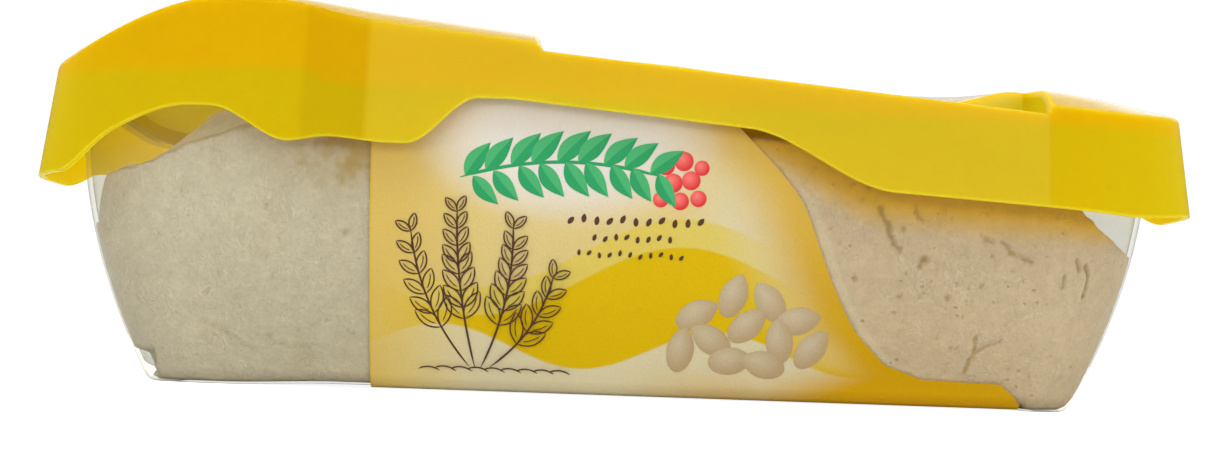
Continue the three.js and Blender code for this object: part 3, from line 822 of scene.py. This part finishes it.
def tub_mesh():
    """Rings from the middle of the base, over the foot and up the curled wall to the flange, then
    down inside to the floor."""
    track, turned = columns([
        (-TRACK_END, -CORE_X, 2.0), (-CORE_X, CORE_X, 2.5), (CORE_X, TRACK_END, 2.0)])
    foot = foot_height(track)
    rings, smear = [], []

    def add(r, z, greasy=0.0):
        x, y = plan(track, turned, r)
        z = z(x, y) if callable(z) else z + 0.0 * track
        rings.append((x, y, z))
        smear.append(greasy + CORNER_SMEAR * missing_corner(track, turned, z))

    rim = lambda drop: lambda x, y: rim_height(x, y) - drop
    foot_r = wall_radius(WALL_FOOT_Z)
    knee_r, knee_z = foot_knee(foot)
    bend = (2 * knee_r - (FOOT_OUTER_RADIUS + foot_r) / 2, 2 * knee_z - (foot + WALL_FOOT_Z) / 2)
    add(BASE_RADIUS, BASE_Z)
    add(BASE_RADIUS + 0.4, mix(BASE_Z, foot, 0.55))
    add(FOOT_INNER_RADIUS, foot)
    add(mix(FOOT_INNER_RADIUS, FOOT_OUTER_RADIUS, 0.5), foot)
    for s in np.linspace(0.0, 1.0, 7):
        add(bow(FOOT_OUTER_RADIUS, bend[0], foot_r, s), bow(foot, bend[1], WALL_FOOT_Z, s))
    for z in np.linspace(WALL_FOOT_Z, 47.0, 34)[1:]:
        add(wall_radius(z), z)
    for r, drop in ((RIM_RADIUS, FLANGE_THICKNESS + 0.3), (RIM_RADIUS + 0.3, FLANGE_THICKNESS),
                    (FLANGE_RADIUS - 0.1, FLANGE_THICKNESS), (FLANGE_RADIUS, FLANGE_THICKNESS / 2),
                    (FLANGE_RADIUS - 0.1, 0.0), (RIM_RADIUS - TUB_WALL + 0.3, 0.0),
                    (RIM_RADIUS - TUB_WALL, 0.3)):
        add(r, rim(drop))
    floor_z = BASE_Z + TUB_WALL
    for z in np.linspace(47.0, floor_z + 1.0, 30):
        add(wall_radius(z) - TUB_WALL, z, 1.0 - smooth(z, 37.0, 43.0))
    inside = foot_r - TUB_WALL
    add(inside - FLOOR_CORNER * 0.3, floor_z + 0.35)
    add(inside - FLOOR_CORNER, floor_z)
    return ring_mesh("tub_shell", rings, {"smear": smear}, math.radians(40))


class HALVA_OT_tub(bpy.types.Operator):
    """Make the clear tub"""

    bl_idname = "halva.tub"
    bl_label = "Tub"

    def execute(self, context):
        settings = context.scene.halva_tub.tub
        add_piece("tub_shell", tub_mesh(), tub_finish(settings), "tub")
        return {"FINISHED"}


# ---- Halva --------------------------------------------------------------------------------------


def halva_relief(track, turned, z):
    """Depth of the open marks in the face, from 0 to 1: listed cracks and pits on the front, and
    on all sides seeded round pits whose rims are broken by noise."""
    front = turned > 0
    wobble = lattice_noise(track, z, 0.9, 5) * 0.35 + lattice_noise(track, z, 0.45, 6) * 0.25
    depth = np.zeros(track.shape)
    for points, half_width, amount in CRACKS:
        away = distance_to_line(track + wobble * 0.5, z + wobble * 0.4, points)
        share = 1.0 - smooth(away, half_width * 0.35, half_width * 1.5)
        depth = np.maximum(depth, front * amount * share)
    for at, height, radius, amount in PITS:
        away = np.hypot(track - at, z - height) + wobble * radius * 0.7
        depth = np.maximum(depth, front * amount * (1.0 - smooth(away, radius * 0.35, radius * 1.25)))
    rng = np.random.default_rng(PIT_SEED)
    at = rng.uniform(-TRACK_END, TRACK_END, PIT_COUNT)
    height = rng.uniform(3.0, 46.0, PIT_COUNT)
    radius = rng.uniform(0.16, 0.40, PIT_COUNT)
    amount = rng.uniform(0.15, 0.5, PIT_COUNT) * np.where(at > 0.0, 1.1, 0.4)
    side = rng.choice([-1.0, 1.0], PIT_COUNT)
    for a, h, r, s, deep in zip(at, height, radius, side, amount):
        near = (np.abs(track - a) < PIT_REACH) & (np.abs(z - h) < PIT_REACH) & (turned == s)
        if near.any():
            away = np.hypot(track[near] - a, (z[near] - h) * (1.0 + r)) + wobble[near] * r
            depth[near] = np.maximum(depth[near], deep * (1.0 - smooth(away, r * 0.3, r * 1.3)))
    return depth


def missing_corner(track, turned, z):
    """Share by which the halva is missing at the foot of the front left corner. Its right end bends
    away by a parabola under a height."""
    low = 1.0 - smooth(z + 0.25 * np.sin(track * 1.7), *CORNER_TOP)
    right = CORNER_RIGHT - CORNER_BEND * (CORNER_BEND_Z - np.minimum(z, CORNER_BEND_Z)) ** 2
    return (turned > 0) * low * between(track, CORNER_LEFT, (right - 1.0, right))


def halva_stain(track, turned, z):
    """Golden brown stain beside the sleeve's left edge, just under the lid: an oval, its outline and
    its strength broken by noise."""
    wobble = lattice_noise(track, z, 2.6, 31) * 0.30 + lattice_noise(track, z, 0.9, 32) * 0.22
    away = np.hypot((track - STAIN_TRACK) / STAIN_LENGTH, (z - STAIN_Z) / STAIN_HEIGHT) + wobble
    return (turned > 0) * (1.0 - smooth(away, 0.45, 1.2))


def sleeve_margin(track, z):
    """Paler band just outside the sleeve's right edge, from the distance along the track."""
    return between(track - sleeve_right(z), *MARGIN) * (z > MARGIN_LEAST_Z)


def halva_mesh(settings):
    """Rings up the face, which lies just inside the tub's wall, then over the rounded shoulder and
    in to the middle of the mound. Open marks sink the face along its normal."""
    track, turned = columns(
        [(-TRACK_END, -117, 1.0), (-117, -40, 0.5), (-40, 20, 3.0), (20, 112, 0.33),
         (112, TRACK_END, 1.0)],
        [(-TRACK_END, -CORE_X, 1.1), (-CORE_X, CORE_X, 1.3), (CORE_X, TRACK_END, 1.1)])
    rings, marks = [], {"top": [], "void": [], "lid_shade": [], "stain": [], "margin": []}
    shaded = np.where(turned < 0, 1.0, smooth(track, *SHADE_TRACK))
    top_shaded = (turned > 0) * between(track, *TOP_SHADE_TRACK)
    ragged = lambda cell, seed: lattice_noise(track + 300 * turned, 0.0 * track, cell, seed)
    contact = fill_height(plan(track, turned, RIM_RADIUS)[0])
    contact = contact + ragged(4.5, 41) * 0.3 + ragged(1.7, 42) * 0.2

    def add(ring, void=0.0, shade=0.0, stain=0.0, margin=0.0, top=0.0):
        rings.append(ring)
        values = (top * (1.0 - top_shaded), void, shade + top * top_shaded, stain, margin)
        for kept, value in zip(marks.values(), values):
            kept.append(value + 0.0 * track)

    def at(r, z):
        x, y = plan(track, turned, r)
        return x, y, z + 0.0 * track

    face = lambda z: wall_radius(z) - HALVA_SINK
    ground = foot_height(track)
    knee_r, knee_z = foot_knee(ground)
    gone = lambda z: MISSING_DEPTH * missing_corner(track, turned, z + 0.0 * track)
    # The base and foot stand a little clear of the tub's faces.
    add(at(BASE_RADIUS + 0.4, HALVA_FLOOR_Z))
    add(at(FOOT_INNER_RADIUS + 0.5, ground + 0.42))
    add(at(FOOT_OUTER_RADIUS - 0.5 - gone(0.5), ground + 0.36))
    add(at(knee_r - 0.45 - gone(1.0), knee_z + 0.3))
    relief = settings.relief / MM
    skirt = skirt_height(track, turned)
    shade_depth = SHADE_DEPTH - SHADE_SHORTER * smooth(track, *SHADE_SHORTER_TRACK)
    for share in np.linspace(0.0, 1.0, 88):
        z = mix(WALL_FOOT_Z + 0.1, contact, share)
        rough = lattice_noise(track + 400 * (turned < 0), z, 1.6, 11) * 0.05
        void = halva_relief(track, turned, z) * min(1.0, 8.0 * (1.0 - share) + 0.2)
        depth = void * relief + 0.05 + rough + gone(z)
        shade = (1.0 - smooth(skirt - z, SHADE_START, shade_depth)) * shaded
        add(at(face(z) - depth, z), void, shade, halva_stain(track, turned, z), sleeve_margin(track, z))
    for inset in (0.35, 0.9, 1.8, 3.0, FILL_SHOULDER_WIDTH):
        lumps = lattice_noise(track, contact + inset + 40 * turned, 3.0, 21) * 0.25
        rise = FILL_SHOULDER * climb(inset / FILL_SHOULDER_WIDTH)
        add(at(face(contact) - inset, contact + rise + lumps), top=min(1.0, inset / 1.8))
    x0, y0 = plan(track, turned, face(contact) - FILL_SHOULDER_WIDTH)
    for share in (0.93, 0.86, 0.78, 0.68, 0.57, 0.45, 0.33, 0.2, 0.08):
        x, y = x0 * share, y0 * share
        lumps = lattice_noise(x + 200, y + 100, 4.0, 22) * 0.4
        rise = (MOUND_RISE + MOUND_TWIST * x * y) * (1.0 - share ** 3) * smooth(x, *MOUND_START)
        add((x, y, fill_height(x) + FILL_SHOULDER + rise + lumps), top=1.0)
    return ring_mesh("halva_block", rings, marks)


class HALVA_OT_block(bpy.types.Operator):
    """Make the pressed halva"""

    bl_idname = "halva.block"
    bl_label = "Halva"

    def execute(self, context):
        settings = context.scene.halva_tub.block
        add_piece("halva_block", halva_mesh(settings), halva_finish(settings), "halva")
        return {"FINISHED"}


# ---- Sleeve and its print -----------------------------------------------------------------------


def on_wall(z, away):
    """Distance from the core and height of a point that stands a distance off the tub's wall, along
    the parabola's normal."""
    slope = 2 * WALL_CURL * (RIM_Z - z)
    length = np.sqrt(1.0 + slope ** 2)
    return wall_radius(z) + away / length, z - away * slope / length


def sleeve_right(z):
    """The sleeve's right edge: an S by depth under the start level, cut off at the tail."""
    return np.minimum(SLEEVE_TAIL_X, wave(SLEEVE_START_Z - z, SLEEVE_RIGHT_X, SLEEVE_STEPS))


def sleeve_mesh():
    """Loops [outer face left to right, inner face right to left] down the front wall, round the
    foot, under the base and, turned, up the back wall."""
    share = np.linspace(0.0, 1.0, 70)
    half = len(share)
    levels = np.concatenate([np.linspace(46.0, 8.0, 39), np.linspace(7.6, 5.2, 9),
                             np.linspace(5.0, 4.4, 13), np.linspace(4.2, WALL_FOOT_Z, 8)])
    rows = []

    def loop(outer, inner, right, level, at_rim=False):
        """outer and inner are (distance, height). The level is the height on the print."""
        x = np.concatenate([mix(SLEEVE_LEFT_X, right, share), mix(right, SLEEVE_LEFT_X, share)])
        r, z = (np.repeat([outer[k], inner[k]], half) for k in (0, 1))
        if at_rim:
            z = rim_height(x, -CORE_Y - r) - FLANGE_THICKNESS - SLEEVE_RIM_GAP
        rows.append(np.stack([x, -CORE_Y - r, z, x, np.full(2 * half, level)], -1))

    near, far = SLEEVE_GAP, SLEEVE_GAP + SLEEVE_THICKNESS
    loop((RIM_RADIUS + far, 0.0), (RIM_RADIUS + near, 0.0), float(sleeve_right(RIM_Z)), PRINT_TOP, True)
    for z in levels:
        loop(on_wall(z, far), on_wall(z, near), float(sleeve_right(z)), z)
    section = [(*foot_knee(FOOT_RELIEF), 0.6, -0.8), (FOOT_OUTER_RADIUS, FOOT_RELIEF, 0.25, -0.97),
               (FOOT_INNER_RADIUS, FOOT_RELIEF, -0.3, -0.95), (BASE_RADIUS, BASE_Z, -0.55, -0.83)]
    for r, z, out, up in section:
        loop((r + far * out, z + far * up), (r + near * out, z + near * up), SLEEVE_TAIL_X, z)
    front = np.stack(rows)
    back = front[::-1, ::-1].copy()
    back[..., :2] *= -1.0
    back = np.concatenate([back[:, half:], back[:, :half]], axis=1)
    grid = np.concatenate([front, back])
    turned = np.where(np.arange(len(grid)) < len(front), 1.0, -1.0)[:, None]
    from_right = sleeve_right(np.maximum(grid[..., 4], 0.5)) - turned * grid[..., 0]
    mesh = ring_mesh("sleeve_film", [tuple(row[:, k] for k in range(3)) for row in grid],
                     {"from_right": list(from_right)}, math.radians(60))
    flat = grid[..., 3:]
    places = np.concatenate([flat.reshape(-1, 2), [flat[0].mean(0), flat[-1].mean(0)]]) / FILM_SPAN
    corner = np.zeros(len(mesh.loops), dtype=np.int64)
    mesh.loops.foreach_get("vertex_index", corner)
    layer = mesh.uv_layers.new(name="FilmMap")
    layer.data.foreach_set("uv", places[corner].astype(np.float32).ravel())
    return mesh


def ribbon(points, half_width):
    """Strip along a line of points (x, z) that tapers at both ends: points -+ normal * half width."""
    line = np.array(points, float)
    along = np.gradient(line, axis=0)
    along /= np.linalg.norm(along, axis=1, keepdims=True)
    normal = np.stack([-along[:, 1], along[:, 0]], axis=-1)
    t = np.linspace(0.0, 1.0, len(line))
    width = half_width * np.clip(np.minimum(t, 1.0 - t) * 8.0 + 0.25, 0.0, 1.0)
    sides = np.array([-1.0, 1.0])[None, :, None]
    grid = line[:, None, :] + sides * normal[:, None, :] * width[:, None, None]
    return grid, np.zeros(grid.shape[:2])


def leaf(base, angle, length, width, bend=0.0):
    """Pointed leaf: its half width is width / 2 * sin(pi * share to the power 0.8), about a midrib
    that bends by a parabola. The upper half is lighter."""
    t = np.linspace(0.0, 1.0, 15)[:, None]
    across = np.array([-1.0, -0.04, 0.04, 1.0])[None, :]
    half = width / 2 * np.sin(np.pi * t ** 0.8)
    x, z = length * t + 0.0 * across, across * half + bend * t * (1.0 - t)
    c, s = math.cos(angle), math.sin(angle)
    grid = np.stack([base[0] + c * x - s * z, base[1] + s * x + c * z], axis=-1)
    return grid, np.where(across > 0.0, 0.42, 0.0) + 0.0 * t


def drop(centre, angle, length, width, point=0.35, light=(-0.25, 0.3)):
    """Seed or berry: a round outline drawn out to a point, in rings from its middle, lighter towards
    one side."""
    ring = np.linspace(0.02, 1.0, 6)[:, None]
    turn = np.linspace(0.0, 2 * math.pi, 29)[None, :]
    taper = 1.0 - point * np.clip(np.cos(turn), 0.0, 1.0) ** 2
    x = ring * np.cos(turn) * length / 2
    z = ring * np.sin(turn) * width / 2 * taper
    c, s = math.cos(angle), math.sin(angle)
    u, v = ring * np.cos(turn), ring * np.sin(turn)
    du, dv = c * u - s * v, s * u + c * v
    shade = np.clip(1.0 - np.hypot(du - light[0], dv - light[1]) * 0.85, 0.0, 1.0)
    grid = np.stack([centre[0] + c * x - s * z, centre[1] + s * x + c * z], axis=-1)
    return grid, shade


def print_mesh(name, shapes, lift):
    """Flat shapes (x, z) laid on the sleeve's outer face, on the front and, turned, on the back.
    Each next shape of a heap stands a little higher, so that it covers the one before."""
    points, shades, faces, start = [], [], [], 0
    for order, (grid, shade) in enumerate(shapes):
        r, z = on_wall(grid[..., 1], SLEEVE_GAP + SLEEVE_THICKNESS + lift * (1.0 + 0.12 * order))
        rows, count = grid.shape[:2]
        quads = grid_faces(rows, count, False)
        a, b, c = (grid.reshape(-1, 2)[quads[:, k]] for k in (0, 1, 2))
        area = ((b - a)[:, 0] * (c - a)[:, 1] - (b - a)[:, 1] * (c - a)[:, 0]).sum()
        if area < 0:
            quads = quads[:, ::-1]
        for turned in (1.0, -1.0):
            flat = np.stack([turned * grid[..., 0], turned * (-CORE_Y - r), z], axis=-1)
            points.append(flat.reshape(-1, 3))
            shades.append(shade.ravel())
            faces.append(quads + start)
            start += rows * count
    return mesh_from(name, np.concatenate(points), np.concatenate(faces),
                     attributes={"shade": np.concatenate(shades)})


def arc_points(start, end, sway, count=14):
    """Line from start to end that sways sideways by a parabola."""
    t = np.linspace(0.0, 1.0, count)[:, None]
    start, end = np.array(start, float), np.array(end, float)
    side = np.array([-(end - start)[1], (end - start)[0]])
    side /= np.linalg.norm(side)
    return mix(start, end, t) + side * sway * 4.0 * t * (1.0 - t)


def garland():
    """Leafy branch: a bowed stem with leaves in pairs, and a cluster of berries at its end."""
    stem = arc_points((-25.5, 35.6), (7.5, 36.8), 2.4, 40)
    leaves = [ribbon(stem, 0.28)]
    for k, t in enumerate(np.linspace(0.03, 0.95, 9)):
        base = stem[int(t * 39)]
        size = 1.0 - 0.22 * abs(t - 0.45)
        leaves.append(leaf(base, 0.95 - 0.35 * t, 7.6 * size, 3.3 * size, 0.9))
        leaves.append(leaf(base + [1.3, 0.0], -0.80 - 0.25 * t, 6.9 * size, 3.1 * size, -0.9))
    cluster = [(8.3, 38.6, 1.55), (11.3, 39.4, 1.6), (9.6, 35.8, 1.6), (12.6, 36.3, 1.55),
               (7.7, 33.1, 1.3), (10.9, 32.9, 1.45), (13.9, 33.4, 1.35), (14.3, 38.4, 1.25)]
    return leaves, [drop((x, z), 0.4, 2 * r, 2 * r, 0.0) for x, z, r in cluster]


def sprigs():
    """Line drawing of seed stalks: bowed stems with pods in pairs, each an outline with a rib."""
    lines = []
    stalks = [((-23.5, 4.6), (-33.5, 27.5), 2.0, 6), ((-22.5, 4.4), (-25.8, 31.0), 0.9, 8),
              ((-21.5, 4.6), (-16.5, 28.5), -1.6, 7), ((-20.0, 4.8), (-9.5, 20.5), -1.8, 5)]
    for foot, tip, sway, pods in stalks:
        stem = arc_points(foot, tip, sway, 30)
        lines.append(ribbon(stem, 0.17))
        heading = stem[-1] - stem[0]
        angle = math.atan2(heading[1], heading[0])
        for k in range(pods):
            base = stem[int(mix(9, 28, k / max(1, pods - 1)))]
            size = mix(5.2, 2.6, k / pods)
            for side in (1.0, -1.0):
                lines += pod(base, angle + side * 0.62, size, side)
    for x in np.linspace(-30.0, -8.0, 9):
        lines.append(ribbon(arc_points((x - 2.0, 4.2 + 0.1 * (x % 3)), (x + 1.6, 4.0), 0.5, 8), 0.13))
    return lines


def pod(base, angle, length, side):
    """Outline of a pointed pod, from two bowed lines, with a shorter rib."""
    tip = base + length * np.array([math.cos(angle), math.sin(angle)])
    return [ribbon(arc_points(base, tip, 0.21 * length), 0.13),
            ribbon(arc_points(base, tip, -0.21 * length), 0.13),
            ribbon(arc_points(mix(base, tip, 0.2), mix(base, tip, 0.8), 0.05 * side * length, 8), 0.09)]


def beads():
    """Three rows of small dark seeds under the branch."""
    rows = [(-7.0, 14.5, 29.4, 11, 1.45), (-3.0, 9.5, 26.6, 8, 1.15), (-5.5, 11.5, 23.9, 11, 1.0)]
    return [drop((x, z + 0.25 * math.sin(x)), 1.2 + 0.4 * math.sin(2.1 * x), size, size * 0.58, 0.4)
            for left, right, z, count, size in rows for x in np.linspace(left, right, count)]


def seeds():
    """Heap of cream seeds, laid from the back to the front."""
    spread = [(14.5, 14.5, 0.5), (20.5, 17.8, 1.2), (26.5, 17.0, 2.2), (31.5, 14.0, 0.2),
              (17.0, 10.4, 2.6), (23.0, 13.0, 0.7), (28.5, 10.6, 1.7), (34.0, 9.4, 0.9),
              (20.5, 7.0, 0.1), (26.0, 6.6, 2.9), (12.0, 8.6, 1.4)]
    return [drop((x, z), angle, 7.6, 4.6, 0.42) for x, z, angle in spread]


class HALVA_OT_sleeve(bpy.types.Operator):
    """Make the sleeve and its print"""

    bl_idname = "halva.sleeve"
    bl_label = "Sleeve"

    def execute(self, context):
        settings = context.scene.halva_tub.sleeve
        lift = settings.print_height / MM
        add_piece("sleeve_film", sleeve_mesh(), film_finish(settings), "sleeve")
        leaves, berries = garland()
        inks = [
            ("print_leaves", leaves, settings.colour_leaf, linear(92, 190, 120)),
            ("print_berries", berries, settings.colour_berry, linear(240, 120, 110)),
            ("print_sprigs", sprigs(), settings.colour_line, settings.colour_line),
            ("print_beads", beads(), settings.colour_line, settings.colour_line),
            ("print_seeds", seeds(), linear(176, 152, 112), settings.colour_seed),
        ]
        for name, shapes, colour, light in inks:
            finish = ink_finish(name.replace("print", "ink"), colour, light)
            add_piece(name, print_mesh(name, shapes, lift), finish)
        return {"FINISHED"}


# ---- Stage --------------------------------------------------------------------------------------


WHITE = (1.0, 1.0, 1.0, 1.0)
FLOOR_HALF, FLOOR_Z = 30.0, -0.00005
CAMERA_PLACE, CAMERA_TILT, CAMERA_ROLL = (-0.00019, -0.350, 0.008), math.radians(93.868), 0.035


def add_light(name, power, place, aim, width, height, mirrored=True):
    """Rectangular soft light at a place, turned to an aim point. The camera doesn't see it, and gloss
    shows it only where it is mirrored."""
    light = bpy.data.lights.new(name, "AREA")
    light.shape, light.size, light.size_y, light.energy = "RECTANGLE", width, height, power
    lamp = bpy.data.objects.new(name, light)
    bpy.context.scene.collection.objects.link(lamp)
    away = np.array(place) - np.array(aim)
    lamp.location = place
    lamp.rotation_euler = (math.atan2(math.hypot(away[0], away[1]), away[2]), 0.0,
                           math.atan2(away[0], -away[1]))
    lamp.visible_camera, lamp.visible_glossy = False, mirrored


def floor_finish():
    """Matt white board that looks evenly bright but gives back only the light that falls on it."""
    f = Finish("floor")
    shade = f.tone((0.75, 0.75, 0.75), 0.99 + f.noise(30.0, 2.0) * 0.02)
    seen = f.node("LightPath")
    glow = f.node("Emission", inputs={"Color": WHITE, "Strength": 0.92})
    nothing = f.node("Emission", inputs={"Strength": 0.0})
    bright = f.node("MixShader", inputs={0: seen, 1: nothing, 2: glow})
    board = f.principled(Base_Color=shade, Roughness=0.9)
    return f.surface(f.node("AddShader", inputs={0: board, 1: bright}))


def studio_world(settings):
    """Light from all round: dim, but white above and behind the pack, and white wherever it is seen."""
    f = Finish("studio", "worlds")
    way = f.node("TexCoord")
    span = lambda *numbers: f.node("MapRange", inputs=dict(enumerate(numbers)))
    high = span(f.axis(way, 2), 0.14, 0.30, settings.ambient, 1.0)
    behind = span(f.axis(way, 1), -0.1, 0.4, settings.ambient, high)
    seen = span(f.node("LightPath"), 0.0, 1.0, behind, 1.05)
    sky = f.node("Background", inputs={"Color": WHITE, "Strength": seen})
    return f.surface(sky, "OutputWorld")


class HALVA_OT_stage(bpy.types.Operator):
    """Make the floor, lights and camera"""

    bl_idname = "halva.stage"
    bl_label = "Stage"

    def execute(self, context):
        scene = context.scene
        settings = scene.halva_tub.stage
        signs = ((-1, -1), (1, -1), (1, 1), (-1, 1))
        corners = np.array([(x * FLOOR_HALF, y * FLOOR_HALF, FLOOR_Z) for x, y in signs]) / MM
        floor_mesh = mesh_from("floor", corners, np.array([[0, 1, 2, 3]]))
        floor_mesh.materials.append(floor_finish())
        floor = bpy.data.objects.new("floor", floor_mesh)
        scene.collection.objects.link(floor)

        front, side, end = settings.front_power, settings.side_power, settings.end_power
        middle = (0.0, 0.0, 0.03)
        for light in (
                ("front_light", front, (0.10, -1.50, 0.64), (0.0, 0.0, 0.04), 0.68, 0.42, False),
                ("key_light", settings.key_power, (-0.25, -1.25, 1.50), middle, 1.6, 1.0),
                ("low_light", settings.low_power, (0.0, -1.80, 0.24), middle, 3.0, 0.36, False),
                ("left_light", side, (-1.30, -0.70, 0.60), middle, 0.7, 0.9, False),
                ("right_light", side * 4.6, (1.30, -0.50, 0.60), middle, 0.7, 0.9, False),
                ("back_light", side, (0.0, 1.40, 0.70), middle, 1.6, 0.8),
                ("left_end_light", end, (-1.40, 1.10, 0.40), (-0.10, 0.0, 0.04), 1.0, 0.8, False),
                ("right_end_light", end * 0.8, (1.40, 1.10, 0.40), (0.10, 0.0, 0.04), 1.0, 0.8, False)):
            add_light(*light)
        scene.world = studio_world(settings)

        data = bpy.data.cameras.new("camera")
        data.sensor_fit, data.sensor_width, data.lens = "HORIZONTAL", 36.0, settings.focal_length
        data.clip_start, data.clip_end = 0.01, 200.0
        camera = bpy.data.objects.new("camera", data)
        scene.collection.objects.link(camera)
        tilt, roll = Quaternion((1, 0, 0), CAMERA_TILT), Quaternion((0, 0, 1), CAMERA_ROLL)
        camera.rotation_mode = "QUATERNION"
        camera.rotation_quaternion = tilt @ roll
        camera.location = CAMERA_PLACE
        scene.camera = camera
        scene.view_settings.view_transform = "Standard"
        scene.view_settings.look = "None"
        return {"FINISHED"}


# ---- Panel and run ------------------------------------------------------------------------------


class HALVA_PT_panel(bpy.types.Panel):
    """Settings and makers of the halva tub"""

    bl_idname = "HALVA_PT_panel"
    bl_label = "Halva tub"
    bl_space_type = "VIEW_3D"
    bl_region_type = "UI"
    bl_category = "Halva tub"

    def draw(self, context):
        settings = context.scene.halva_tub
        for part in PARTS:
            box = self.layout.box()
            group = getattr(settings, part)
            for key in group.bl_rna.properties.keys():
                if key not in ("rna_type", "name"):
                    box.prop(group, key)
            box.operator(f"halva.{part}")


PARTS = ("tub", "block", "sleeve", "lid", "stage")
CLASSES = (HALVA_PG_lid, HALVA_PG_tub, HALVA_PG_block, HALVA_PG_sleeve, HALVA_PG_stage,
           HALVA_PG_settings, HALVA_OT_lid, HALVA_OT_tub, HALVA_OT_block, HALVA_OT_sleeve,
           HALVA_OT_stage, HALVA_PT_panel)


def register():
    for cls in CLASSES:
        bpy.utils.register_class(cls)
    bpy.types.Scene.halva_tub = bpy.props.PointerProperty(
        type=HALVA_PG_settings, name="Halva tub", description="Settings of the halva tub")


def unregister():
    del bpy.types.Scene.halva_tub
    for cls in reversed(CLASSES):
        bpy.utils.unregister_class(cls)


def main():
    register()
    for part in PARTS:
        getattr(bpy.ops.halva, part)()


if __name__ == "__main__":
    main()
